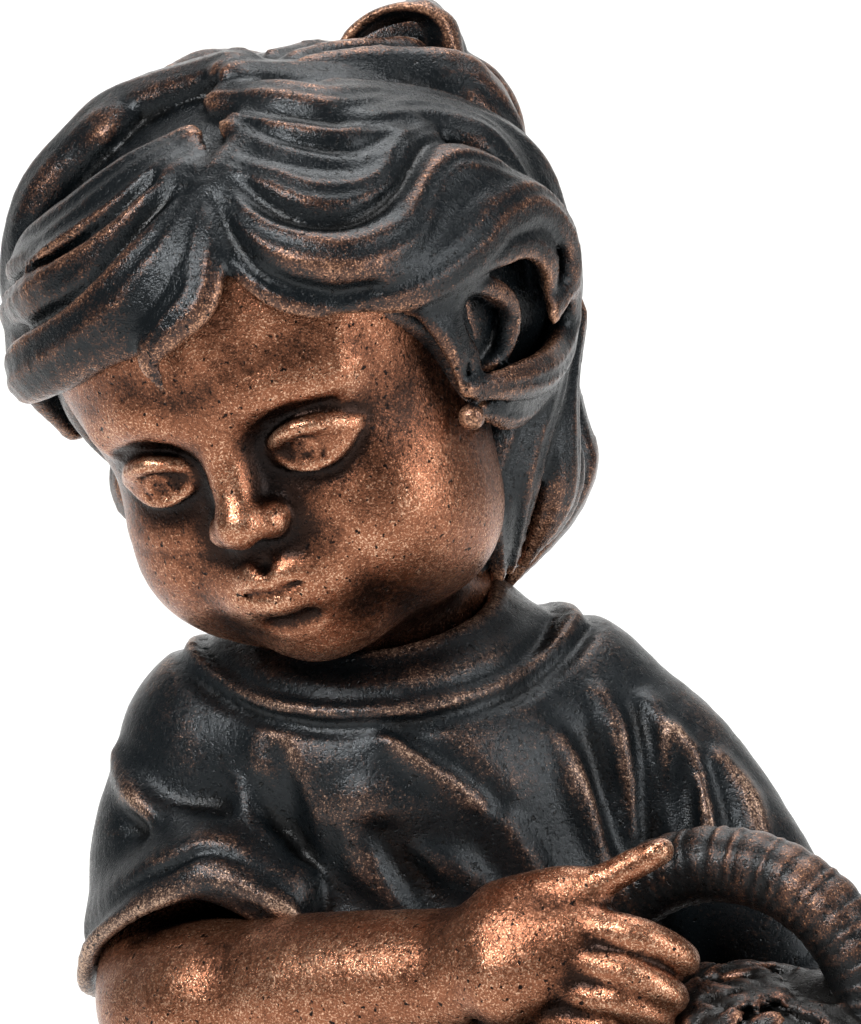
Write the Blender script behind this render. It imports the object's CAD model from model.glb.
import math

import bpy
import numpy as np
from mathutils import Euler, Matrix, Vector, noise


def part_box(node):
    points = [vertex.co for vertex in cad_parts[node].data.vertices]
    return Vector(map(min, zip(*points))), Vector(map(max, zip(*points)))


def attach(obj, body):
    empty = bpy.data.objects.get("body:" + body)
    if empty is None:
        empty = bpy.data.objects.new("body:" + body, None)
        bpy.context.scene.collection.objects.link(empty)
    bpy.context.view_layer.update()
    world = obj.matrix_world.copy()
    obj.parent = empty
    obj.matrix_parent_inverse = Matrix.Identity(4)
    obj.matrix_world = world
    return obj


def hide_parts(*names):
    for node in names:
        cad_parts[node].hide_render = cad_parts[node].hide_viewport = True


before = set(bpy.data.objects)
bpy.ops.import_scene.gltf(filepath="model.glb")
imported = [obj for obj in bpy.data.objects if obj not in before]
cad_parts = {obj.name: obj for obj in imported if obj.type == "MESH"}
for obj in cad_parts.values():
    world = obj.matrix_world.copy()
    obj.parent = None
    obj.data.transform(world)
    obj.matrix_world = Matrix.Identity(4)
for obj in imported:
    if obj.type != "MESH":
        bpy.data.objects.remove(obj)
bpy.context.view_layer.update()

# Camera
# The photograph is a close view of the upper half, taken from the front and slightly above.
statue_low, statue_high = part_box("girl_and_puppy_statue")
DRAWN_HEIGHT = 519.0
UNIT = (statue_high.z - statue_low.z) / DRAWN_HEIGHT  # one unit of the drawing, about a millimetre
BASE_DEPTH = 22
GROUND = statue_low.z + BASE_DEPTH * UNIT  # the top of the base, where the drawing's heights start
CAMERA_RISE = math.radians(6)
CAMERA_DISTANCE = 1.6
PICTURE_ROWS = 1024
ROW_HEIGHT = 0.2  # how much of the drawing one row of the photograph shows
VIEW_HEIGHT = PICTURE_ROWS * ROW_HEIGHT * UNIT
AIM_ACROSS = -7.9
AIM_HEIGHT = 395.6
LONG_SENSOR = 36.0

scene = bpy.context.scene
camera_data = bpy.data.cameras.new("camera")
camera_data.sensor_width = LONG_SENSOR
camera_data.lens = LONG_SENSOR * CAMERA_DISTANCE / VIEW_HEIGHT
camera = bpy.data.objects.new("camera", camera_data)
scene.collection.objects.link(camera)
aim = Vector((AIM_ACROSS * UNIT, 0, GROUND + AIM_HEIGHT * UNIT))
backward = Vector((0, -math.cos(CAMERA_RISE), math.sin(CAMERA_RISE)))
camera.location = aim + backward * CAMERA_DISTANCE
camera.rotation_euler = (-backward).to_track_quat("-Z", "Y").to_euler()
scene.camera = camera


# Face and neck
# The girl's head and neck, tilted forward and turned to her right. They are cast resin, sculpted first in
# clay, with soft full forms, lidded eyes with cut irises, and a worn copper finish.
HEAD_CENTRE = Vector((-35, -15, 430))
HEAD_TURN = Euler((math.radians(22), math.radians(-15), math.radians(-25))).to_matrix()
COARSER = 1.0
FAR = 40.0  # the distance that stands for empty space


def on_head(x, y, z):
    """A place in the head's own axes: the face looks along -Y and the crown is at +Z."""
    return HEAD_CENTRE + HEAD_TURN @ Vector((x, y, z))


def spline(points, steps):
    """A smooth curve through rows of numbers, with that many stretches between each two."""
    points = np.array(points, float)
    ends = np.vstack([2 * points[:1] - points[1:2], points, 2 * points[-1:] - points[-2:-1]])
    curve = []
    for a, b, c, d in zip(ends, ends[1:], ends[2:], ends[3:]):
        for t in np.arange(steps) / steps:
            square = (2 * a - 5 * b + 4 * c - d) * t**2
            cube = (3 * b - a - 3 * c + d) * t**3
            curve.append(0.5 * (2 * b + (c - a) * t + square + cube))
    return np.array([*curve, points[-1]])


def unit_rows(rows):
    return rows / np.maximum(np.linalg.norm(rows, axis=-1, keepdims=True), 1e-6)


class Clay:
    """A block of clay in which shapes melt together: a grid of distances to its surface, negative inside."""

    def __init__(self, low, high, grain):
        self.grain = grain * COARSER
        self.low = np.array(low, float)
        self.counts = np.ceil((np.array(high, float) - self.low) / self.grain).astype(int) + 1
        self.field = np.full(self.counts, FAR, np.float32)

    def window(self, low, high):
        """The part of the grid between two corners, and the X, Y and Z of its points."""
        first = np.clip(np.floor((np.array(low) - self.low) / self.grain).astype(int), 0, self.counts)
        last = np.clip(np.ceil((np.array(high) - self.low) / self.grain).astype(int) + 1, 0, self.counts)
        part = tuple(slice(a, b) for a, b in zip(first, last))
        x, y, z = (
            (self.low[i] + self.grain * np.arange(first[i], last[i], dtype=np.float32)).astype(np.float32)
            for i in range(3)
        )
        return part, x[:, None, None], y[None, :, None], z

    def melt(self, part, shape, blend, cut=False):
        """Adds the shape to the clay, or cuts it out, with a fillet of about a third of blend."""
        here = self.field[part]
        if cut:
            fillet = np.maximum(blend - np.abs(here + shape), 0) / blend
            here[...] = np.maximum(here, -shape) + fillet * fillet * (blend / 4)
        else:
            fillet = np.maximum(blend - np.abs(here - shape), 0) / blend
            here[...] = np.minimum(here, shape) - fillet * fillet * (blend / 4)

    def ball(self, centre, radii, turn=None, blend=4.0, cut=False):
        """An egg shape. A single radius makes it round."""
        radii = np.ones(3) * np.array(radii, float)
        axes = np.array(turn if turn is not None else np.eye(3), float)
        reach = np.sqrt(((axes * radii) ** 2).sum(1)) + blend + 2 * self.grain
        part, x, y, z = self.window(np.array(centre) - reach, np.array(centre) + reach)
        dx, dy, dz = x - centre[0], y - centre[1], z - centre[2]
        near = steep = 0
        for axis, radius in enumerate(radii):
            local = (dx * axes[0, axis] + dy * axes[1, axis] + dz * axes[2, axis]) / radius
            near = near + local * local
            steep = steep + local * local / radius**2
        near = np.sqrt(near)
        self.melt(part, near * (near - 1) / np.maximum(np.sqrt(steep), 1e-6), blend, cut)

    def limb(self, path, widths, thick=1.0, outward=None, blend=3.0, steps=5, strands=0, depth=0.0,
             cut=False, wrap=None):
        """A round-ended limb along a smooth path.

        thick is its depth along outward as a share of its width, strands and depth comb grooves along it, and
        wrap gives the pitch, depth and slant of a cord wound round it.
        """
        points = spline([tuple(place) for place in path], steps)
        breadths = np.maximum(spline([(width,) for width in widths], steps)[:, 0], 0.15)
        along = unit_rows(np.gradient(points, axis=0))
        if outward is None:
            facing = [np.array(Vector(along[0]).orthogonal())]
            for direction in along[1:]:
                turned = facing[-1] - direction * (facing[-1] @ direction)
                facing.append(turned / np.linalg.norm(turned))
            facing = np.array(facing)
        else:
            facing = np.array([outward(Vector(point)) for point in points], float)
            facing = unit_rows(facing - along * (facing * along).sum(1)[:, None])
        aside = np.cross(along, facing)
        runs = np.concatenate([[0], np.cumsum(np.linalg.norm(np.diff(points, axis=0), axis=1))])
        reach = breadths.max() * max(1, thick) + blend + 2 * self.grain + 1
        whole, *_ = self.window(points.min(0) - reach, points.max(0) + reach)
        shape = np.full(self.field[whole].shape, FAR, np.float32)
        corner = np.array([span.start for span in whole])
        for i in range(len(points) - 1):
            reach = max(breadths[i], breadths[i + 1]) * max(1, thick) + blend + 2 * self.grain + 1
            low = np.minimum(points[i], points[i + 1]) - reach
            high = np.maximum(points[i], points[i + 1]) + reach
            part, x, y, z = self.window(low, high)
            stretch = points[i + 1] - points[i]
            dx, dy, dz = x - points[i][0], y - points[i][1], z - points[i][2]
            share = (dx * stretch[0] + dy * stretch[1] + dz * stretch[2]) / max(stretch @ stretch, 1e-9)
            share = np.clip(share, 0, 1).astype(np.float32)
            dx, dy, dz = dx - share * stretch[0], dy - share * stretch[1], dz - share * stretch[2]
            width = breadths[i] + (breadths[i + 1] - breadths[i]) * share
            if thick == 1.0 and not strands and not wrap:
                distance = np.sqrt(dx * dx + dy * dy + dz * dz) - width
            else:
                sides, fronts = (
                    ways[i][:, None, None, None] + (ways[i + 1] - ways[i])[:, None, None, None] * share
                    for ways in (aside, facing)
                )
                u = (dx * sides[0] + dy * sides[1] + dz * sides[2]) / width
                v = (dx * fronts[0] + dy * fronts[1] + dz * fronts[2]) / (width * thick)
                ends = np.maximum((dx * dx + dy * dy + dz * dz) / width**2 - u * u - (v * thick) ** 2, 0)
                near = np.sqrt(u * u + v * v + ends)
                steep = np.sqrt(u * u + (v / thick) ** 2 + ends)
                distance = width * near * (near - 1) / np.maximum(steep, 1e-6)
                if strands:
                    comb = 0.5 + 0.5 * np.cos(math.pi * strands * u)
                    distance = distance + depth * comb * np.clip(1.3 - np.abs(u), 0, 1)
                if wrap:
                    pitch, cord_depth, slant = wrap
                    run = runs[i] + (runs[i + 1] - runs[i]) * share
                    turn = run / pitch + slant * np.arctan2(v, u) / math.tau
                    distance = distance + cord_depth * np.abs(np.cos(math.pi * turn)) ** 3
            inner = tuple(slice(span.start - c, span.stop - c) for span, c in zip(part, corner))
            np.minimum(shape[inner], distance, out=shape[inner])
        self.melt(whole, shape, blend, cut)

    def lathe(self, centre, profile, turn=0.0, wave=None, blend=3.0):
        """An oval turned shape: profile holds (radius in X, radius in Y, height) from the bottom up."""
        profile = np.array(profile, float)
        reach = profile[:, :2].max() * 1.15
        low = (centre[0] - reach, centre[1] - reach, profile[0, 2] - blend)
        high = (centre[0] + reach, centre[1] + reach, profile[-1, 2] + blend)
        part, x, y, z = self.window(low, high)
        dx, dy = x - centre[0], y - centre[1]
        dx, dy = dx * math.cos(turn) + dy * math.sin(turn), dy * math.cos(turn) - dx * math.sin(turn)
        reach_x = np.interp(z, profile[:, 2], profile[:, 0])
        reach_y = np.interp(z, profile[:, 2], profile[:, 1])
        swell = wave(np.arctan2(dy / reach_y, dx / reach_x), z + 0 * dx * dy) if wave else 1.0
        sides = (np.sqrt((dx / reach_x) ** 2 + (dy / reach_y) ** 2) - swell) * np.minimum(reach_x, reach_y)
        ends = np.maximum(z - profile[-1, 2], profile[0, 2] - z)
        self.melt(part, np.maximum(sides, ends).astype(np.float32), blend)

    def on_skin(self, place, outward, lift=0.0, reach=30):
        """The place moved along outward to the clay's surface, and lift above it."""
        outward = np.array(outward, float) / np.linalg.norm(outward)
        runs = np.arange(reach, -reach, -self.grain / 2)
        cells = np.rint((np.array(place) + outward * runs[:, None] - self.low) / self.grain).astype(int)
        depth = self.field[tuple(np.clip(cells, 0, self.counts - 1).T)]
        first = int(np.argmax(depth < 0))
        if not first:
            raise ValueError(f"no clay at {tuple(place)}")
        run = runs[first] + self.grain / 2 * depth[first] / (depth[first] - depth[first - 1])
        return Vector(place) + Vector(outward) * (run + lift)

    def front(self, x, z, lift=0.0):
        return self.on_skin((x, 0, z), (0, -1, 0), lift, 60)

    def skin(self):
        """Points and four-sided faces of the surface, with one point in each cell that it passes through."""
        stride = np.array([self.counts[1] * self.counts[2], self.counts[2], 1])
        cells, crossings, quads = [], [], []
        for axis in range(3):
            ahead = np.roll(self.field, -1, axis)
            at = np.argwhere((self.field < 0) != (ahead < 0))
            at = at[np.all((at > 0) & (at < self.counts - 2), axis=1)]
            here = self.field[tuple(at.T)].astype(float)
            there = ahead[tuple(at.T)].astype(float)
            crossing = at.astype(float)
            crossing[:, axis] += here / (here - there)
            u, v = (axis + 1) % 3, (axis + 2) % 3
            corners = []
            for back_u, back_v in ((0, 0), (1, 0), (1, 1), (0, 1)):
                cell = at.copy()
                cell[:, u] -= back_u
                cell[:, v] -= back_v
                corners.append(cell @ stride)
                crossings.append(crossing)
            cells.extend(corners)
            quad = np.stack(corners, 1)
            quads.append(np.where((here < 0)[:, None], quad, quad[:, ::-1]))
        names, index = np.unique(np.concatenate(cells), return_inverse=True)
        crossings = np.concatenate(crossings)
        share = np.bincount(index)
        points = np.stack([np.bincount(index, crossings[:, i]) / share for i in range(3)], 1)
        return self.low + points * self.grain, np.searchsorted(names, np.concatenate(quads))


def neighbour_mean(values, edges, valence):
    total = np.zeros_like(values)
    for start, end in ((0, 1), (1, 0)):
        for i in range(values.shape[1]):
            total[:, i] += np.bincount(edges[:, start], values[edges[:, end], i], len(values))
    return total / valence[:, None]


def cast(name, clay, material, lumps=0.12):
    """The clay as a cast piece: its skin as a mesh in place, with the finish's ridges and hollows worked out.

    lumps is how far the casting's own unevenness moves the surface, in millimetres.
    """
    points, quads = clay.skin()
    edges = np.concatenate([quads[:, [corner, (corner + 1) % 4]] for corner in range(4)])
    edges = np.unique(np.sort(edges, axis=1), axis=0)
    valence = np.maximum(np.bincount(edges.ravel(), minlength=len(points)), 1).astype(float)
    points = points * 0.5 + neighbour_mean(points, edges, valence) * 0.5
    diagonals = np.cross(points[quads[:, 2]] - points[quads[:, 0]], points[quads[:, 3]] - points[quads[:, 1]])
    normals = np.zeros_like(points)
    for corner in range(4):
        for i in range(3):
            normals[:, i] += np.bincount(quads[:, corner], diagonals[:, i], len(points))
    normals = unit_rows(normals)
    height = np.array([noise.noise(Vector(p) / 7) + 0.5 * noise.noise(Vector(p) / 2.6) for p in points])
    points = points + normals * (height * lumps)[:, None]
    relief = {}
    smooth = points
    done = 0
    for key, reach in (("fine_relief", 1.4), ("broad_relief", 4.0), ("form_relief", 10.0)):
        passes = int(reach**2 / clay.grain**2)
        for _ in range(passes - done):
            smooth = neighbour_mean(smooth, edges, valence)
        done = passes
        relief[key] = ((points - smooth) * normals).sum(1)
    mesh = bpy.data.meshes.new(name)
    mesh.vertices.add(len(points))
    mesh.vertices.foreach_set("co", (points * UNIT + (0, 0, GROUND)).astype(np.float32).ravel())
    mesh.loops.add(quads.size)
    mesh.loops.foreach_set("vertex_index", quads.astype(np.int32).ravel())
    mesh.polygons.add(len(quads))
    mesh.polygons.foreach_set("loop_start", np.arange(0, quads.size, 4, dtype=np.int32))
    mesh.update(calc_edges=True)
    mesh.validate()
    mesh.shade_smooth()
    for key, values in relief.items():
        attribute = mesh.attributes.new(key, "FLOAT", "POINT")
        attribute.data.foreach_set("value", values.astype(np.float32))
    piece = bpy.data.objects.new(name, mesh)
    scene.collection.objects.link(piece)
    mesh.materials.append(material)
    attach(piece, "root")
    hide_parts("girl_and_puppy_statue")


def srgb(code):
    """An sRGB hex colour as linear red, green, blue and alpha."""
    parts = [int(code[i:i + 2], 16) / 255 for i in (1, 3, 5)]
    return (*[part / 12.92 if part <= 0.04045 else ((part + 0.055) / 1.055) ** 2.4 for part in parts], 1)


def add(material, kind, inputs, **settings):
    """Adds a node with its settings. Each input is a number, a colour or another node's output."""
    tree = material.node_tree
    node = tree.nodes.new("ShaderNode" + kind)
    for name, value in settings.items():
        setattr(node, name, value)
    for name, value in inputs.items():
        if isinstance(value, bpy.types.NodeSocket):
            tree.links.new(value, node.inputs[name])
        else:
            node.inputs[name].default_value = value
    return node


def rubbed_finish(name, patina, deep, copper, bright, lean, grit, bare, metallic, roughness, most=1.6):
    """Cast resin under a painted bronze patina, rubbed back to copper on what stands proud.

    lean is how readily the rubbing takes, grit how patchy it is, bare how much the broad form is worn, and
    most the wear at which thin parts such as fingers get no brighter.
    """
    patina, deep, copper, bright = (srgb(code) for code in (patina, deep, copper, bright))
    material = bpy.data.materials.new(name)
    material.use_nodes = True
    shader = material.node_tree.nodes["Principled BSDF"]
    place = add(material, "TexCoord", {}).outputs["Object"]

    def grain(millimetres, detail=3.0, rough=0.6):
        inputs = {"Vector": place, "Scale": 1000 / millimetres, "Detail": detail, "Roughness": rough}
        return add(material, "TexNoise", inputs).outputs["Fac"]

    def sum_of(first, factor, second):
        return add(material, "Math", {0: first, 1: factor, 2: second}, operation="MULTIPLY_ADD").outputs[0]

    def ramp(value, start, end, low=0.0, high=1.0):
        inputs = {"Value": value, "From Min": start, "From Max": end, "To Min": low, "To Max": high}
        return add(material, "MapRange", inputs, interpolation_type="SMOOTHSTEP").outputs[0]

    def mix(share, first, second):
        inputs = {0: share, 6: first, 7: second}
        return add(material, "Mix", inputs, data_type="RGBA").outputs[2]

    fine, broad, form = (
        add(material, "Attribute", {}, attribute_name=key + "_relief").outputs["Fac"]
        for key in ("fine", "broad", "form")
    )
    # Patches, brush marks, specks of patina and its sand, by width in millimetres. The real sand, about 0.2 mm
    # wide, is too fine to show and is drawn coarser.
    patches = grain(17, 3, 0.5)
    brush = grain(3.4, 4, 0.65)
    dust = grain(1.1, 2, 0.7)
    sand = grain(0.38, 2, 0.65)
    uneven = sum_of(patches, 2.0, sum_of(brush, 0.9, sum_of(dust, 1.4, sum_of(sand, 2.4, -3.35))))
    loose = sum_of(uneven, grit, lean)
    swell = sum_of(broad, 0.9, sum_of(form, bare, 0.0))
    proud = add(material, "Math", {0: swell, 1: most}, operation="MINIMUM").outputs[0]
    height = sum_of(fine, 1.7, sum_of(proud, 1.0, loose))
    rubbed = ramp(height, -0.15, 1.0)
    glint = ramp(sum_of(sand, 3.0, height), 2.3, 3.4)
    hollow = ramp(sum_of(broad, 1.2, sum_of(form, 0.25, loose)), -1.5 + lean, -0.5 + lean, 1.0, 0.0)
    pits = ramp(grain(1.2, 1.5), 0.28, 0.36)
    worn = mix(glint, mix(rubbed, patina, copper), bright)
    colour = mix(pits, deep, mix(hollow, worn, deep))
    # The pits and grains are about a tenth of a millimetre deep.
    relief = sum_of(pits, 1.2, sum_of(sand, 1.0, sum_of(dust, 1.3, 0.0)))
    bump = add(material, "Bump", {"Strength": 1.0, "Distance": 0.00011, "Height": relief})
    shader.inputs["Metallic"].default_value = metallic
    for socket, output in (
        ("Base Color", colour),
        ("Roughness", sum_of(dust, 0.3, roughness - 0.15)),
        ("Normal", bump.outputs["Normal"]),
    ):
        material.node_tree.links.new(output, shader.inputs[socket])
    return material


# The skin is rubbed back the most, so it reads as worn copper with dark grain left in its hollows.
copper_skin = rubbed_finish(
    "copper_skin", "#261710", "#130c0a", "#8f5a40", "#e6bc9c",
    lean=0.22, grit=0.6, bare=0.3, metallic=0.85, roughness=0.27, most=0.5,
)

head = Clay((-96, -80, 332), (34, 50, 492), 0.95)
head.limb([(-14, 8, 342), (-18, 4, 368), (-25, 0, 398)], (24, 22, 22), blend=6)
head.ball((-9, 10, 376), (15, 14, 14), None, 6)
for centre, radii, blend in (
    ((0, 6, 9), (43, 49, 43), 1),  # skull
    ((0, -13, -17), (34.5, 30, 38), 14),
    ((0, -20, 16), (36, 26, 26), 12),  # forehead
    ((18, -26, -26), 16.5, 12),  # cheeks
    ((-18, -26, -26), 16.5, 12),
    ((20.5, -14, -35), (12.5, 15, 14), 12),  # corners of the jaw
    ((-20.5, -14, -35), (12.5, 15, 14), 12),
    ((0, -32, -43), (12, 11, 9.5), 10),  # chin
):
    head.ball(on_head(*centre), radii, HEAD_TURN, blend)
for hand in (-1, 1):
    head.ball(on_head(16.5 * hand, -50, -3.5), (12, 9, 8), HEAD_TURN, 9, cut=True)
    brow = [on_head(5 * hand, -43.5, 6), on_head(14 * hand, -43, 9), on_head(25 * hand, -37, 6)]
    head.limb(brow, (2.2, 2.8, 2.0), blend=7)
head.limb([on_head(0, -42, 6), on_head(0, -44.5, -3), on_head(0, -49, -13.5)], (3.2, 3.4, 4.0), blend=6)
head.ball(on_head(0, -50.2, -15), (4.9, 4.6, 4.4), HEAD_TURN, 3)
for hand in (-1, 1):
    head.ball(on_head(5.2 * hand, -46.6, -16.3), (3.3, 4.0, 3.2), HEAD_TURN, 2.5)
    head.ball(on_head(2.6 * hand, -50, -19.4), (1.3, 2.0, 1.1), HEAD_TURN, 1, cut=True)

EYEBALL = 8.8
for hand in (-1, 1):
    eye = Vector((16.5 * hand, -35.2, -4))
    head.ball(on_head(*eye), EYEBALL, HEAD_TURN, 1.2)
    inner_corner = (8.6, -40.8, -4.8)
    upper_lid = (inner_corner, (11.5, -43.6, -1.6), (17, -44.6, 0), (22, -41.8, -1.6), (25.2, -37.4, -4.4))
    lower_lid = (inner_corner, (12, -43, -8.0), (17, -43.4, -9.0), (21.5, -41, -8.0), (25.2, -37.4, -4.8))
    for lid, widths in ((upper_lid, (1.1, 1.3, 1.5, 1.3, 1.0)), (lower_lid, (1.0, 1.0, 1.0, 1.0, 0.9))):
        head.limb([on_head(x * hand, y, z) for x, y, z in lid], widths, blend=2.2)
    crease = ((10, -43.8, 2.2), (17, -44.6, 3.6), (24, -39.8, 1.6))
    head.limb([on_head(x * hand, y, z) for x, y, z in crease], (0.6, 0.8, 0.6), blend=1.8, cut=True)
    look = Vector((-0.02, -1, -0.16)).normalized()
    aside = look.cross(Vector((0, 0, 1))).normalized()
    for reach, width in ((3.5, 0.4), (1.2, 0.5)):
        ring = []
        for step in range(15):
            angle = math.tau * step / 14
            spoke = aside * math.cos(angle) + aside.cross(look) * math.sin(angle)
            ring.append(on_head(*(eye + look * math.sqrt(EYEBALL**2 - reach**2) + spoke * reach)))
        head.limb(ring, (width,) * 15, blend=0.4, steps=2, cut=True)

head.ball(on_head(0, -41.5, -31), (12.5, 8, 8), HEAD_TURN, 8)
for path, widths, blend, cut in (
    (((-8, -43.6, -28.8), (-3.6, -47.2, -27.3), (0, -47.7, -27.9), (3.6, -47.2, -27.3), (8, -43.6, -28.8)),
     (1.0, 1.8, 1.6, 1.8, 1.0), 2.6, False),
    (((-6.5, -43.8, -31.4), (0, -47.0, -32.8), (6.5, -43.8, -31.4)), (1.2, 2.3, 1.2), 2.8, False),
    (((-8.4, -45.4, -29.9), (-4.4, -48.6, -29.8), (0, -49.4, -30.3), (4.4, -48.6, -29.8),
      (8.4, -45.4, -29.9)), (0.3, 0.5, 0.6, 0.5, 0.3), 1.6, True),
    (((0, -49.2, -21.5), (0, -48.3, -25)), (0.9, 1.1), 1.8, True),
    (((-4, -46.5, -38.0), (0, -47, -38.6), (4, -46.5, -38.0)), (1.2, 1.6, 1.2), 4, True),
):
    head.limb([on_head(*place) for place in path], widths, blend=blend, cut=cut)
cast("head", head, copper_skin)


# Hair
# A bobbed head of hair with a side parting: a fringe swept across the brow, waves over the left ear and loose
# ends round the neck. It is cast in one with the head and keeps its dark slate patina, rubbed to brown along
# the ridges.
HAIR_CENTRE = Vector((0, 6, 7))
HAIR_RADII = Vector((53, 59, 49))
NECK_AXIS = Vector((-22, 6, 0))


def on_hair(side, up, lift=0.0):
    """A place on the hair: side in degrees round from her face to her left, up in degrees above her brow."""
    side, up = math.radians(side), math.radians(up)
    direction = Vector((math.sin(side) * math.cos(up), -math.cos(side) * math.cos(up), math.sin(up)))
    reach = Vector([radius * part for radius, part in zip(HAIR_RADII, direction)])
    return HEAD_CENTRE + HEAD_TURN @ (HAIR_CENTRE + reach + direction * lift)


def from_head(point):
    return (point - HEAD_CENTRE).normalized()


def from_neck(point):
    return Vector((point.x - NECK_AXIS.x, point.y - NECK_AXIS.y, 0)).normalized()


def lock(hair, places, widths, lift=-1.0, thick=0.66, strands=3, depth=0.6, blend=2.0, cut=False):
    """One lock laid along the head through places of side and up, each with its own lift if it has one."""
    path = [on_hair(*place) if len(place) == 3 else on_hair(*place, lift) for place in places]
    hair.limb(path, widths, thick, from_head, blend, strands=strands, depth=depth, cut=cut)


# The rubbing catches only the ridges of the locks, so they read as dark slate lined with thin brown.
slate_hair = rubbed_finish(
    "slate_hair", "#12171a", "#060707", "#563a2d", "#b98a6c",
    lean=-0.75, grit=0.95, bare=0.25, metallic=0.5, roughness=0.25,
)

hair = Clay((-106, -84, 352), (36, 62, 500), 0.88)
hair.ball(on_head(0, 7, 8), (48.5, 54, 45), HEAD_TURN, 1)
hair.ball(on_head(0, -46, -16), (75, 34, 36), HEAD_TURN, 3, cut=True)
front_locks = (
    # the back layer at her right
    (((142, 82), (-109, 68), (-93, 58, 0), (-84, 44, 1), (-80, 28, 0), (-80, 10)), (7, 10, 10, 10, 8, 6)),
    (((-88, 66), (-86, 44, 0), (-86, 22, 0), (-88, -4)), (8, 10, 10, 7)),
    (((-64, 26), (-74, 8), (-80, -10)), (7, 7.6, 5)),
    # the fringe, from the crown down to the brow
    (((12, 69), (-16, 61), (-38, 50), (-58, 40), (-74, 28)), (4, 7, 8, 8, 5)),
    (((17, 64), (2, 58), (-14, 49), (-40, 37, 1), (-67, 24, 3)), (3, 6.4, 8, 8, 2.4)),
    (((19, 57), (6, 45), (-8, 35), (-25, 27), (-45, 18, 1), (-62, 8, 2)), (3, 6.6, 9, 9.4, 7.6, 2.4)),
    (((20, 53), (12, 40), (1, 30), (-9, 25), (-18, 21, 0)), (2.6, 5, 6, 4.6, 1.6)),
    (((21, 50, 0), (17, 42, 0), (11, 29, 1), (3, 24, 2), (-3, 19, 2), (-2, 12, 1)),
     (2.4, 4, 4.8, 4, 2.6, 1.0)),
    # the crown, right of the parting
    (((100, 80), (120, 70, -5), (126, 58, -6), (128, 44, -5)), (6, 7, 7, 5)),
    (((90, 56, -3), (104, 46, -5), (112, 28, -4), (112, 8), (112, -18)), (6, 6.6, 8, 9, 9)),
    (((80, 45, -1), (90, 42, -3), (99, 34, -3), (102, 22), (101, 8), (106, -8)), (3, 5.6, 6.6, 7, 6, 4)),
    (((56, 78, -2), (70, 66, -2), (76, 57, -2), (86, 51, -3), (102, 46, -4)), (5, 7, 7, 6.2, 3)),
    (((42, 66), (52, 54), (64, 45), (77, 43), (88, 40)), (4, 6.4, 6.4, 5.2, 3)),
    (((30, 56), (38, 48), (46, 39), (55, 34), (65, 33), (77, 36), (88, 34)), (3, 5.4, 6.4, 6.2, 5.6, 4.8, 3)),
    (((21, 49), (22, 38), (27, 27), (34, 19), (43, 14)), (2.2, 3.2, 3.6, 3.4, 2)),
    # low locks that floor the creases between the others
    (((52, 28, -2), (63, 28, -2), (75, 30, -2), (86, 28, -2)), (3, 5, 5, 4)),
    (((-34, 46, -1.5), (-50, 41, -1), (-64, 36, -1), (-78, 28, -2)), (4, 6, 7, 4)),
    (((-28, 43, 0), (-44, 40, 1), (-60, 34, 1.5), (-72, 29, 1)), (3, 5, 5, 3)),
    (((-48, 33, -2), (-62, 28, -2), (-76, 20, -2)), (4, 6, 4)),
    (((50, 15, -1.5), (61, 15.5, -0.5), (72, 17.5, 1), (84, 17, 1), (93, 13, 0)), (3, 5, 6, 6, 4)),
    (((8, 60, -2), (22, 54, -2), (32, 58, -2)), (4, 6, 5)),
    (((25, 51), (28, 41), (34, 32, 0), (43, 24, 1), (52, 21, 1), (61, 21, 1), (70, 25, 1), (80, 25, 2),
      (88, 18, 2), (95, 6, 2)), (2.8, 5.2, 6.6, 7.4, 7.2, 6.6, 6, 5.8, 5.4, 3.4)),
    (((54, 6, -2), (62, 5, -1), (72, 5, 0.5), (81, 5, 1.5), (88, 1, 2), (92, -6, 2), (93, -15, 1)),
     (2, 3.4, 4.2, 4.4, 4.4, 4, 2.4)),
    (((44, 15), (52, 12, 0), (60, 11, 1), (70, 11, 2), (81, 12, 3), (92, 8, 4), (100, -4, 4), (101, -14, 3),
      (91, -19, 2)), (3, 5, 5.6, 5.8, 5.6, 5.2, 4.6, 4, 2.2)),
)
for places, widths in front_locks:
    lock(hair, places, widths)
front_valleys = (
    ((22, 48), (24, 37), (28, 28), (38, 19), (47, 15)),
    ((32, 49), (35, 41), (41, 34), (51, 29), (63, 29), (71, 31), (80, 33)),
    ((43, 63), (51, 53), (63, 43), (76, 40)),
    ((58, 62), (67, 52), (76, 45), (86, 39)),
    ((7, 52), (-19, 36), (-41, 27), (-58, 21)),
    ((1, 57), (-15, 50), (-32, 42), (-50, 36), (-69, 28)),
)
for places in front_valleys:
    widths = (0.5, *(1.0,) * (len(places) - 2), 0.5)
    lock(hair, places, widths, lift=2.6, thick=1.8, strands=0, blend=3, cut=True)

# Short fine hair grows down the temple in front of the ear.
for places, widths in (
    (((50, 13, -1), (57, 4, -2), (60, -8, -2), (59, -20, -1)), (1.6, 3, 3, 0.8)),
    (((57, 11, -1), (63, 2, -2), (65, -10, -2), (62, -24, -1)), (1.6, 3, 3, 0.8)),
    (((63, 10, -1), (68, 2, -3), (69, -10, -3)), (1.6, 2.8, 1)),
):
    lock(hair, places, widths, blend=1.2, strands=2, depth=0.5)

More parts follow.
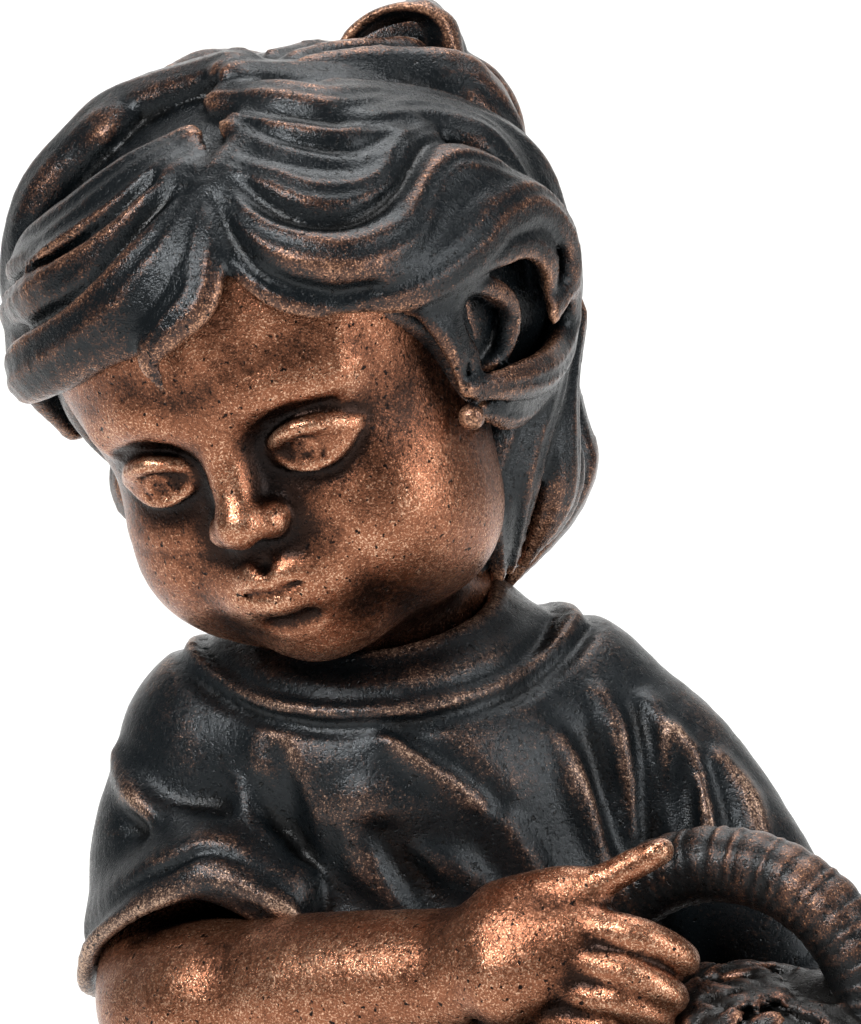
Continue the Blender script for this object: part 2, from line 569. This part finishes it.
# The left ear shows only as a rim deep in the hollow under the last wave, and locks sweep forward below it.
hair.ball(on_hair(71, -9, 2), (6, 11.5, 10), HEAD_TURN, 2.5, cut=True)
ear_rim = ((61, -2, -3), (65, 2, -2), (71, 1, -1.5), (77, -6, -1.5), (79, -13, -2), (76, -20, -3),
           (71, -22, -4))
lock(hair, ear_rim, (1.6, 2.2, 2.4, 2.4, 2.2, 2, 1.4), thick=1, strands=0, blend=1.2)
for places, widths in (
    (((102, -13, 3), (107, -26, 2), (100, -32, 2), (85, -30, 2), (71, -25, 1), (60, -20, 0)),
     (4, 5, 5, 4.6, 3.6, 2)),
    (((107, -26, 1), (103, -36, 1), (92, -40, 0), (76, -36, 0), (64, -29, -1)), (4, 5, 5, 4.4, 2)),
):
    lock(hair, places, widths)
hair.ball(on_hair(59, -27, 0.5), 2.7, None, 0.6)
for path, widths in (
    (((2, -16, 420), (-3, -19, 413), (-3, -19, 405), (-2, -17, 396), (2, -10, 385)), (3, 4, 4.2, 4, 1.6)),
    (((10, -12, 426), (7, -15, 414), (4, -16, 405), (4, -15, 397), (6, -8, 384)), (4, 5, 5.4, 5, 1.8)),
    (((17, -6, 432), (14, -9, 421), (11, -11, 411), (9, -11, 401), (8, -4, 385)), (5, 6, 6, 5.6, 2)),
    (((19, 4, 434), (17, 0, 422), (17, -2, 410), (16.5, -1, 399), (11, 2, 386)), (6, 6.4, 6.4, 6, 2.4)),
):
    hair.limb(path, widths, 0.8, from_neck, 1.6, strands=3, depth=0.6)
hair.ball(on_head(0, 74, -10), (70, 44, 80), HEAD_TURN, 1, cut=True)
cast("hair_front", hair, slate_hair)

# The back of the hair falls in long plain ends that turn in at the neck.
hair = Clay((-106, -50, 372), (36, 66, 500), 1.4)
hair.ball(on_head(0, 7, 8), (48.5, 54, 45), HEAD_TURN, 1)
hair.ball(on_head(2, 26, -4), (44, 34, 41), HEAD_TURN, 8)
hair.ball((-25, 20, 408), (37, 27, 28), None, 8)
for side, (across, behind), tip in (
    (124, (16.2, 7), 382),
    (144, (18, 23), 378),
    (164, (8, 38), 377),
    (184, (-8, 46), 379),
    (202, (-25, 48), 378),
    (220, (-43, 43), 380),
    (240, (-58, 32), 384),
    (262, (-66, 17), 390),
):
    fall = Vector((across, behind, 0))
    inward = NECK_AXIS - fall
    path = [on_hair(side, 64, -6), on_hair(side + 3, 42, -5), on_hair(side, 16, -2)]
    for share, height in ((0, 414), (0, 398), (0.3, tip)):
        path.append(Vector((across, behind, height)) + inward * share)
    hair.limb(path, (6, 8.4, 9.6, 8.4, 9.5, 3), 0.62, from_neck, 2, strands=3, depth=0.8)
for side, low_end in ((134, 20), (154, 8), (174, 2), (193, 4), (211, 10), (230, 16), (250, 20)):
    path = [on_hair(side + shift, up, lift)
            for shift, up, lift in ((0, 70, -4), (-4, 48, -4), (2, 28, -1), (0, low_end, 0))]
    hair.limb(path, (3, 6, 6.4, 2), 0.6, from_head, 1.8, strands=2, depth=0.6)
hair.ball(on_head(0, -44, 0), (60, 44, 70), HEAD_TURN, 1, cut=True)
cast("hair_back", hair, slate_hair)


# Bow
# A ribbon bow tied behind the crown: an open loop that stands up, one folded down beside it, a short one on
# her right and two tails. It is cast and finished with the hair, so its ribbon is thicker than cloth.
bow = Clay((-78, 4, 434), (26, 66, 520), 0.8)
KNOT = Vector((-26, 36, 474))
STANDING_LOOP = ((-10, 24, 472), (-20, 19, 476), (-26.5, 16, 483), (-23, 15, 490.5), (-15, 15, 494.6),
                 (-7.5, 16, 494), (-4, 18, 488), (-3.5, 22, 480), (-6, 28, 472))
LOOP_MIDDLE = Vector((-15, 17, 486))
LOOP_AXIS = Vector((0.1, 0.94, -0.32))  # the way the ribbon's width runs in the standing loop
SHORT_LOOP = ((-38, 28, 482), (-52, 20, 482.5), (-60, 22, 476), (-46, 34, 472))


def from_loop(point):
    spoke = point - LOOP_MIDDLE
    return (spoke - LOOP_AXIS * spoke.dot(LOOP_AXIS)).normalized()


def from_short_loop(point):
    return (point - Vector((-48, 26, 477))).normalized()


bow.limb(STANDING_LOOP, (5, 5.4, 5, 4.8, 5.4, 6.4, 7.6, 8, 7), 0.3, from_loop, 1.2, 6, 2, 0.4)
bow.limb([(-9, 15, 494), (-5.5, 15, 488), (-4.5, 19, 479), (-4, 25, 471)], (2, 4, 4.8, 5), 0.7, None, 2)
bow.ball((-15, 29, 484), (12, 3, 10), None, 3)
bow.limb([(-22, 15, 483), (-15, 14, 481), (-6, 17, 479)], (3, 3.4, 3), 0.6, None, 2)
folded_loop = [(-10, 27, 481), (-1, 25, 480), (4.5, 26, 474), (6.5, 29, 466), (2, 33, 460)]
bow.limb(folded_loop, (5, 6.6, 6.6, 5.4, 3), 0.6, lambda point: Vector((0.45, -1, 0.35)), 2, 6, 2, 0.6)
bow.limb([KNOT, *SHORT_LOOP, KNOT], (4.5, 6.6, 7.4, 7.4, 6.6, 4.5), 0.27, from_short_loop, 1.2, 6, 2, 0.4)
bow.limb([KNOT, (-16, 32, 474), (-8, 28, 474)], (7, 6.4, 6), 0.9, None, 3)
bow.ball(KNOT, (8, 7, 8), None, 2)
for hand in (-1, 1):
    tail = [KNOT, KNOT + Vector((8 * hand, 12, -12)), KNOT + Vector((15 * hand, 16, -32))]
    bow.limb(tail, (5, 7, 9), 0.3, from_head, 1.5, 6, 2, 0.5)
cast("bow", bow, slate_hair)


# Shirt
# A loose knitted shirt with a broad flat neck band and short full sleeves. It is modelled in the clay with
# soft pulled folds and keeps the dark patina, rubbed brown where it bulges.
def circle(centre, reach_x, reach_y, steps, rise=None):
    """The places round a level oval, the first one repeated at the end. rise(angle) lifts them."""
    places = []
    for step in range(steps + 1):
        angle = math.tau * step / steps
        x = centre[0] + reach_x * math.cos(angle)
        y = centre[1] + reach_y * math.sin(angle)
        places.append((x, y, centre[2] + (rise(angle) if rise else 0)))
    return places


# The cloth is rubbed the most unevenly, so it reads as dark slate with a fine brown and copper sparkle.
slate_shirt = rubbed_finish(
    "slate_shirt", "#14191c", "#070808", "#503a30", "#b89880",
    lean=-0.5, grit=1.15, bare=0.2, metallic=0.5, roughness=0.29,
)

shirt = Clay((-98, -56, 254), (92, 60, 396), 1.05)
shirt.ball((-9, 6, 322), (50, 37, 50), None, 1)
shirt.ball((-9, 4, 294), (53, 40, 40), None, 12)
shirt.ball((-16, 2, 345), (43, 36, 30), None, 8)
shirt.limb([(-46, 4, 350), (-16, 6, 352), (16, 8, 355)], (21.5, 22, 21), blend=6)
shirt.limb([(-50, 3, 344), (-56, 0, 328), (-57, 0, 313)], (20, 20, 19), blend=8)
shirt.limb([(22, 6, 350), (38, 2, 341), (53, -4, 322), (62, -4, 305)], (20.5, 18, 16.5, 16), blend=6)
shirt.ball((47, 4, 300), (12, 16, 20), None, 6)
shirt.lathe((-9, 4), ((53.5, 40.5, 266), (52, 39.5, 276), (50, 38, 292), (46, 34, 306)), blend=6)
for ridge, width, lift in (
    (((-70.5, 347), (-67, 340.5), (-60, 335.5), (-50, 332.5)), 1.8, 0.8),
    (((-45, 345), (-42, 337), (-38, 328), (-36, 321)), 2.0, -0.2),
    (((-19, 357), (-12, 352), (-3, 346.5), (3, 341.5)), 0.8, 0.2),
    (((-28, 340), (-20, 342), (-10, 340)), 3.2, -2.4),
    (((-8, 331), (-3, 328), (3, 324)), 2.2, -0.6),
    (((17, 352), (21, 344), (25, 335), (27, 327)), 2.2, -0.6),
    (((26, 360), (30, 352), (32, 343), (33, 333)), 1.6, 0.2),
    (((36, 358), (38.5, 351), (38, 344)), 1.4, 0.2),
    (((41, 353), (45, 346), (47, 338), (48, 330)), 1.8, 0.0),
    (((50, 347), (55, 340), (58, 332)), 1.6, 0.0),
    (((-24, 336), (-20, 328), (-14, 321)), 2.6, -1.2),
    (((6, 338), (11, 329), (15, 320)), 2.2, -1.0),
):
    places = [shirt.front(x, z, lift) for x, z in ridge]
    shirt.limb(places, (0.5, *(width,) * (len(ridge) - 2), 0.5), blend=5)
for valley, width, lift in (
    (((-39, 351), (-37, 343), (-35, 334), (-32, 326), (-29, 318)), 2.6, 0.2),
    (((-46, 347), (-42, 342), (-38, 335)), 1.4, 0.3),
    (((-69, 336), (-62, 331), (-54, 328.5), (-46, 328)), 1.9, 0.6),
    (((-17, 359), (-9, 353.5), (0, 347), (6, 341)), 1.4, 0.7),
    (((24, 352), (27, 342), (29, 332)), 1.8, 0.8),
    (((34, 356), (35.5, 347), (36, 336), (36.5, 327)), 2.2, 0.6),
    (((42, 350), (42.5, 342), (43, 333)), 1.7, 0.6),
    (((48, 347), (51, 339), (53, 330)), 1.6, 0.7),
    (((-17, 335), (-12, 327), (-6, 320)), 1.8, 0.8),
):
    places = [shirt.front(x, z, lift) for x, z in valley]
    shirt.limb(places, (0.4, *(width,) * (len(valley) - 2), 0.6), blend=4.5, cut=True)
for path in (
    ((-62, 22, 338), (-50, 31, 330), (-36, 37, 318)),
    ((36, 20, 340), (26, 33, 330), (18, 39, 316)),
    ((-30, 36, 346), (-14, 41, 330), (-6, 43, 306)),
):
    shirt.limb(path, (2.2, 4, 2.2), blend=8)

# The right sleeve stands open over the forearm, with a stitched hem a few millimetres deep.
right_hem = ((-75, 6, 298), (-77, -6, 302), (-75, -17, 311), (-68, -26, 318), (-60, -31, 322.5),
             (-51.5, -34, 326.5), (-42, -36.5, 324), (-34, -37, 318.5), (-30, -30, 310))
shirt.limb([(-69, -6, 312), (-62, -18, 320), (-51, -25, 327), (-38, -29, 322)], (7.5, 9.5, 10, 8), blend=6)
shirt.ball((-56, -26, 302), (20, 26, 20.5), None, 3, cut=True)
shirt.limb(right_hem, (2, 2, 1.9, 1.8, 1.7, 1.6, 1.6, 1.6, 1.4), blend=3)
hem_line = [Vector(place) + Vector((0, 0.6, 5.4)) for place in right_hem[1:8]]
shirt.limb(hem_line, (0.5, 0.9, 0.9, 0.9, 0.9, 0.9, 0.5), blend=1.5, cut=True)
left_hem = []
for step in range(9):
    angle = math.tau * step / 8
    left_hem.append((63.5 - 14.5 * math.cos(angle), -5 + 15.5 * math.sin(angle), 301 - 8 * math.cos(angle)))
shirt.limb(left_hem, (2.2,) * 9, blend=4)
hem = circle((-9, 4, 268), 54, 41, 14, rise=lambda angle: 3 * math.sin(3 * angle))
shirt.limb(hem, (2.6,) * 15, blend=3, steps=3)

# The neck band lies almost flat between its rolled inner edge and a raised seam with a groove on each side.
NECK = Vector((-18.5, 2, 0))


def off_neck(point):
    return Vector((point[0] - NECK.x, point[1] - NECK.y, 30)).normalized()


def neck_ring(reach, height, front_drop, left_rise, steps=20):
    """A ring round the neck, front_drop lower at her front and left_rise higher at her left."""
    return circle((NECK.x, NECK.y, height), reach, reach, steps,
                  rise=lambda angle: front_drop * math.sin(angle) + left_rise * math.cos(angle))


def round_neck(reach, height, front_drop, left_rise, lift):
    """The same ring laid on the shirt, or lift above it."""
    ring = neck_ring(reach, height, front_drop, left_rise, 24)
    return [shirt.on_skin(place, off_neck(place), lift, 14) for place in ring]


inner_edge = neck_ring(24, 375, 6.5, 3.5)
band = neck_ring(28.5, 371, 7.5, 3)
shirt.limb(band, (6,) * 21, 0.42, off_neck, 3, 4)
shirt.limb(inner_edge, (2,) * 21, blend=2, steps=4)
shirt.limb(round_neck(34, 367.8, 8, 1.5, -0.4), (1.2,) * 25, blend=2, steps=4)
shirt.limb(round_neck(36.2, 366.0, 8, 1.5, 0.4), (1.3,) * 25, blend=2, steps=4, cut=True)
shirt.limb(round_neck(31.8, 369.8, 8, 2, 0.5), (0.9,) * 25, blend=2, steps=4, cut=True)
cast("shirt", shirt, slate_shirt)


# Right arm and hand
# The bare forearm crosses in front of the chest, and the plump hand closes over the left end of the basket's
# handle with its thumb along the top. The skin is worn to copper.
arm = Clay((-84, -92, 276), (46, 22, 348), 0.85)
arm.limb([(-57, -4, 318), (-58, -16, 300), (-52, -29, 301)], (15, 16.5, 15), blend=4)
forearm = [(-56, -22, 299), (-30, -42, 306), (-2, -58, 312), (10, -62, 315)]
arm.limb(forearm, (15.5, 15, 12.5, 11.5), blend=6)
arm.ball((9, -66, 317), (12, 9.5, 13), None, 8)
arm.ball((7, -73, 312), (6.5, 4, 7), None, 5)
wrist = []
for turn in (-60, -30, 0, 30, 60):
    angle = math.radians(turn)
    wrist.append((1.5, -57 - 12 * math.cos(angle), 312 + 12.5 * math.sin(angle)))
arm.limb(wrist, (0.6, 1.2, 1.4, 1.2, 0.6), blend=3.5, cut=True)
arm.ball((20, -69, 317), (10.5, 8, 12), (Euler((0, math.radians(22), 0))).to_matrix(), 6)
thumb = [(6, -62, 325), (16, -66, 329.5), (24, -68, 331), (31, -68, 334.5), (36.5, -67, 337)]
arm.limb(thumb, (5, 4.4, 3.4, 3.1, 2.7), blend=4)
arm.ball((35.6, -69.4, 337.4), (2.4, 1.2, 1.8), None, 0.7)
for root, tip, width in (
    ((27, -74, 322.5), (40, -71, 317), 3.9),
    ((25, -76, 316), (38, -74, 310), 3.7),
    ((23, -76, 310), (35.5, -74, 305.5), 3.4),
    ((21, -75, 304.5), (32, -73, 300.5), 3.1),
):
    root, tip = Vector(root), Vector(tip)
    bend = root.lerp(tip, 0.45) + Vector((0, -2.4, 1.2))
    last = tip + Vector((0.5, 5, -1.5))
    finger = [root + Vector((-6, 3, 1)), root, bend, tip, last]
    arm.limb(finger, (3, width, width, width * 0.93, 2.6), blend=1.4)
cast("right_arm", arm, copper_skin)


# Left arm and hand
# The left arm reaches round the basket from behind and carries it from below, with its fingers turned up at
# the front. It is worn to copper like the right one.
arm = Clay((28, -104, 212), (96, 18, 346), 1.4)
arm.limb([(52, -2, 326), (65, -4, 302), (74, -10, 277)], (13.5, 13.5, 13.5), blend=4)
arm.limb([(74, -10, 277), (70, -36, 244), (58, -62, 228)], (13.5, 12.5, 10), blend=4)
arm.ball((54, -76, 227), (15, 13, 7.5), None, 6)
for step in range(4):
    across = 40 + 8.5 * step
    finger = [(across + 2, -78, 226), (across, -91, 228), (across - 0.5, -96, 234), (across - 1, -93, 242)]
    arm.limb(finger, (4.6, 4.7, 4.3, 3.4), blend=1.4)
    arm.ball((across - 1, -96.2, 240.5), (2.5, 1.8, 2.6), None, 0.8)
arm.limb([(66, -70, 228), (76, -84, 232), (78, -88, 240)], (6, 5, 3.8), blend=3)
cast("left_arm", arm, copper_skin)


# Basket
# A small round basket of coiled rope with an arched handle bound in cord. It is carved into the clay, cast
# with the arms and left nearly black.
BASKET_CENTRE = Vector((48, -54, 0))
BASKET_RADII = Vector((42, 36, 0))
BASKET_FLOOR = 236
BASKET_TOP = 285
BASKET_TURN = math.radians(-24)
RIM = 4.85
HANDLE = 7.6
CORD_PITCH = 3.3


def in_basket(along, across, height):
    """A place in the basket: along its handle's plane, across it, and a height in the drawing."""
    flat = Vector((along, across, 0))
    flat.rotate(Euler((0, 0, BASKET_TURN)))
    return Vector((BASKET_CENTRE.x + flat.x, BASKET_CENTRE.y + flat.y, height))


# The rubbing reaches the tops of the cords alone, so each strand reads as a brown line on near black.
slate_rope = rubbed_finish(
    "slate_rope", "#17191a", "#070707", "#5f4133", "#b98862",
    lean=-0.6, grit=0.9, bare=0.12, metallic=0.5, roughness=0.3,
)

basket = Clay((-2, -100, 226), (98, -8, 345), 1.05)
basket.lathe(BASKET_CENTRE, [(30, 26, BASKET_FLOOR), (38, 33, 262), (40, 34, BASKET_TOP)], BASKET_TURN)
coils = 5
coil_rise = (BASKET_TOP - BASKET_FLOOR) / coils
for coil in range(coils):
    middle = (coil + 0.5) / coils
    flare = 0.78 + 0.22 * math.sin(middle * math.pi / 2)
    height = BASKET_FLOOR + (coil + 0.5) * coil_rise
    rope = circle((0, 0, height), BASKET_RADII.x * flare, BASKET_RADII.y * flare, 20)
    rope = [in_basket(*place) for place in rope]
    basket.limb(rope, (5.4,) * 21, blend=0.8, steps=4, wrap=(6.5, 0.9, 1.0))
rim = [in_basket(*place) for place in circle((0, 0, BASKET_TOP), BASKET_RADII.x, BASKET_RADII.y, 20)]
basket.limb(rim, (RIM,) * 21, blend=0.8, steps=4, wrap=(5.2, 0.9, -1.0))
cast("basket", basket, slate_rope)

# The handle is an arch bound all along in thin cord, so its ribs are finer than the basket's coils.
binding = Clay((2, -92, 268), (97, -16, 345), 0.62)
arch_radius = 31
arch_middle = 301
handle = [in_basket(-BASKET_RADII.x + 4, 4, BASKET_TOP - 6)]
for step in range(9):
    angle = math.pi * (1 - step / 8)
    handle.append(in_basket(arch_radius * math.cos(angle), 4, arch_middle + arch_radius * math.sin(angle)))
handle.append(in_basket(BASKET_RADII.x - 4, 4, BASKET_TOP - 6))
binding.limb(handle, (HANDLE,) * 11, blend=1, steps=6, wrap=(CORD_PITCH, 1.9, 0.35))
cast("basket_handle", binding, slate_rope, lumps=0.05)


# Puppy
# A small shaggy puppy curled in the basket with its muzzle and paws over the rim and its ears hanging. It is
# cast with the basket, and its coat is modelled in short curved tufts.
# The partings stay dark and the tips are rubbed brown, so the coat reads as rough warm hair.
shaggy_coat = rubbed_finish(
    "shaggy_coat", "#191817", "#080707", "#674435", "#c09070",
    lean=-0.7, grit=0.9, bare=0.12, metallic=0.5, roughness=0.3,
)

puppy = Clay((2, -108, 262), (98, -18, 330), 0.95)
puppy.ball(in_basket(6, 2, 290), (32, 27, 19), None, 2)
puppy.ball(in_basket(20, 6, 298), (15, 14, 14), None, 6)
muzzle_end = Vector((22, -77, 291))
puppy.ball(muzzle_end, (15, 15, 14), None, 6)
puppy.limb([muzzle_end + Vector((8, 14, -6)), muzzle_end + Vector((16, 26, -8))], (14, 15), blend=6)
puppy.limb([muzzle_end + Vector((-1, -8, -3)), muzzle_end + Vector((-4, -17, -8))], (9, 7), blend=4)
puppy.ball(muzzle_end + Vector((-5, -23.5, -6)), (3.8, 3, 2.8), None, 1)
for hand in (-1, 1):
    ear = [muzzle_end + Vector((9 * hand, 2, 9)), muzzle_end + Vector((15 * hand, 0, 1)),
           muzzle_end + Vector((14 * hand, -3, -11))]
    puppy.limb(ear, (5, 7, 4.5), 0.5, lambda point: Vector((1, 0, 0.2)), 2, strands=3, depth=0.7)
    puppy.ball(muzzle_end + Vector((6 * hand - 2, -12, 3)), 2.8, None, 1)
for along in (4, 19):
    paw = [in_basket(along, -18, 288), in_basket(along - 1, -35, 291), in_basket(along - 2, -40, 282)]
    puppy.limb(paw, (7, 6.5, 6), blend=3)
    for toe in (-1, 0, 1):
        knuckle = in_basket(along - 1 + 4 * toe, -38, 290)
        tip = in_basket(along - 2 + 4.2 * toe, -43, 282)
        puppy.limb([knuckle, tip], (2.4, 2.4), blend=1)

# Tufts cover the upper side of the body, each with its own sweep and curl.
BACK_CENTRE = Vector((6, 2, 290))
BACK_RADII = Vector((31, 26, 19))
TUFT_COUNT = 170
tufts = np.random.default_rng(7)


def from_back(point):
    return (point - in_basket(*BACK_CENTRE)).normalized()


for _ in range(TUFT_COUNT):
    turn = tufts.uniform(0, math.tau)
    climb = math.asin(tufts.uniform(0.1, 1))
    out = Vector((math.cos(turn) * math.cos(climb), math.sin(turn) * math.cos(climb), math.sin(climb)))
    root = BACK_CENTRE + Vector([radius * part for radius, part in zip(BACK_RADII, out)])
    sweep = Vector((1, -0.4 + 0.8 * tufts.normal(), 0))
    sweep = (sweep - out * sweep.dot(out)).normalized() * tufts.uniform(6, 9)
    curl = out.cross(sweep) * tufts.uniform(-0.9, 0.9)
    tuft = (root - sweep * 0.6, root + out * 1.6 - curl * 0.3, root + sweep * 0.5 + curl * 0.3 + out * 2.8,
            root + sweep * 0.8 + curl * 0.9 + out * 1.8)
    puppy.limb([in_basket(*place) for place in tuft], (1.6, 2.8, 2.2, 0.6), 0.6, from_back, 0.5, 4, 2, 0.6)
cast("puppy", puppy, shaggy_coat)


# Skirt
# A knee-length skirt hanging in round folds from the waist, hollowed a little at its hem. It is cast with the
# shirt and has the same dark patina.
skirt = Clay((-94, -66, 154), (78, 76, 290), 2.0)


def skirt_folds(angle, height):
    depth = 0.07 * (278 - height) / 120
    return 1 + depth * np.sin(11 * angle + 0.4 * np.sin(3 * angle)) + 0.3 * depth * np.sin(23 * angle + 1)


skirt_profile = ((66, 53, 163), (70, 57, 168), (64, 52, 205), (58, 46, 240), (50, 39, 268), (40, 31, 282))
skirt.lathe((-8, 5), skirt_profile, wave=skirt_folds)
skirt.ball((-8, 5, 158), (58, 46, 14), None, 4, cut=True)
cast("skirt", skirt, slate_shirt)


# Legs and feet
# Plump bare legs in turned-down socks and round-toed bar shoes, cast with the base. The legs are worn to
# copper and the shoes are finished like the clothes.
for hand, side in ((-1, "right"), (1, "left")):
    across = -8 + 24 * hand
    leg = Clay((across - 24, -22, 36), (across + 24, 34, 184), 1.8)
    thigh_to_ankle = [(across, 6, 175), (across, 2, 120), (across, 8, 84), (across, 9, 44)]
    leg.limb(thigh_to_ankle, (19, 15.5, 15.5, 11), blend=2)
    leg.ball((across, -8, 122), (9, 8, 9), None, 8)
    cast(side + "_leg", leg, copper_skin)
    shoe = Clay((across - 26, -46, -8), (across + 26, 38, 70), 1.6)
    shoe.limb([(across, 9, 30), (across, 9, 58)], (12, 13), blend=2)
    shoe.limb(circle((across, 9, 55), 12, 12.5, 10), (4.2,) * 11, 0.8, None, 2, wrap=(3.4, 0.5, 0))
    heel_to_toe = [(across, 16, 10), (across + 2 * hand, -6, 9), (across + 4 * hand, -26, 8)]
    shoe.limb(heel_to_toe, (13, 14.5, 14), blend=4)
    shoe.ball((across, 10, 24), (13.5, 16, 13), None, 4)
    bar = [(across - 13, 2, 22), (across, -5, 28), (across + 13, 2, 22)]
    shoe.limb(bar, (3, 3, 3), 0.7, lambda point: Vector((0, 0, 1)), 1)
    shoe.limb(circle((across + 2 * hand, -5, 2), 16, 34, 14), (2.4,) * 15, 1, None, 1)
    cast(side + "_shoe", shoe, slate_shirt)


# Base
# A low mound of ground with a rolling edge, flat underneath. It is cast with the feet and has the finish of
# the clothes.
BASE_HALF = Vector((126, 106, 0))
base = Clay((-132, -112, -26), (132, 112, 8), 2.4)


def ground(angle, _height):
    return 1 - 0.018 * (1 - np.cos(4 * angle)) - 0.008 * (1 - np.cos(12 * angle))


base_profile = (
    (BASE_HALF.x, BASE_HALF.y, -BASE_DEPTH),
    (BASE_HALF.x, BASE_HALF.y, -BASE_DEPTH * 0.35),
    (BASE_HALF.x * 0.965, BASE_HALF.y * 0.955, -BASE_DEPTH * 0.1),
    (BASE_HALF.x * 0.86, BASE_HALF.y * 0.82, BASE_DEPTH * 0.02),
    (BASE_HALF.x * 0.5, BASE_HALF.y * 0.5, BASE_DEPTH * 0.08),
)
base.lathe((0, 0), base_profile, wave=ground)
cast("base", base, slate_shirt, lumps=0.5)


# Floor and light
# A sweep in matt pale paint rises behind the statue. The key is a small bright soft box at the upper left, a
# tall one at the right draws the cheek and the edge of the hair, and a broad one hangs overhead.
FLOOR_NEAR = -4.0
FLOOR_BACK = 3.0
FLOOR_CURVE = 1.5
FLOOR_TOP = 5.0
FLOOR_HALF_WIDTH = 6
sweep_profile = [(FLOOR_NEAR, 0.0), (FLOOR_BACK, 0.0)]
for step in range(1, 13):
    angle = math.pi / 2 * step / 12
    rise = FLOOR_CURVE - FLOOR_CURVE * math.cos(angle)
    sweep_profile.append((FLOOR_BACK + FLOOR_CURVE * math.sin(angle), rise))
sweep_profile.append((FLOOR_BACK + FLOOR_CURVE, FLOOR_TOP))
sweep_points = [
    (x, y, z + statue_low.z) for y, z in sweep_profile for x in (-FLOOR_HALF_WIDTH, FLOOR_HALF_WIDTH)
]
sweep_faces = [(2 * i, 2 * i + 1, 2 * i + 3, 2 * i + 2) for i in range(len(sweep_profile) - 1)]
sweep_mesh = bpy.data.meshes.new("floor")
sweep_mesh.from_pydata(sweep_points, [], sweep_faces)
sweep_mesh.shade_smooth()
pale_paint = bpy.data.materials.new("pale_studio_paint")
pale_paint.use_nodes = True
paint_inputs = pale_paint.node_tree.nodes["Principled BSDF"].inputs
paint_inputs["Base Color"].default_value = srgb("#f1f0ee")
paint_inputs["Roughness"].default_value = 0.9
# The sweep can't be seen from its outer side, so a view of the statue's back looks in through it.
outer_side = add(pale_paint, "NewGeometry", {}).outputs["Backfacing"]
seen = add(pale_paint, "Math", {0: 1.0, 1: outer_side}, operation="SUBTRACT").outputs[0]
pale_paint.node_tree.links.new(seen, paint_inputs["Alpha"])
sweep_mesh.materials.append(pale_paint)
floor = bpy.data.objects.new("floor", sweep_mesh)
scene.collection.objects.link(floor)

# Each light has its place and size in metres and its power in watts.
for name, place, size, power in (
    ("key_softbox", (-1.1, -1.7, 1.9), (0.6, 0.6), 62),
    ("right_softbox", (1.7, -0.9, 0.9), (0.5, 1.5), 24),
    ("top_softbox", (0.2, 0.3, 2.3), (1.4, 1.0), 26),
    ("backdrop_light", (0.0, 1.6, 3.2), (3.0, 1.2), 140),
):
    light_data = bpy.data.lights.new(name, "AREA")
    light_data.shape = "RECTANGLE"
    light_data.size, light_data.size_y = size
    light_data.energy = power
    light = bpy.data.objects.new(name, light_data)
    light.location = place
    target = Vector((0, 4.2, 0.8)) if name == "backdrop_light" else Vector((0, 0, 0.4))
    light.rotation_euler = (target - Vector(place)).to_track_quat("-Z", "Y").to_euler()
    scene.collection.objects.link(light)

sky = bpy.data.worlds.new("studio")
sky.use_nodes = True
daylight = sky.node_tree.nodes["Background"].inputs
daylight["Color"].default_value = srgb("#dfe4ea")
daylight["Strength"].default_value = 0.22
scene.world = sky
scene.view_settings.view_transform = "Standard"
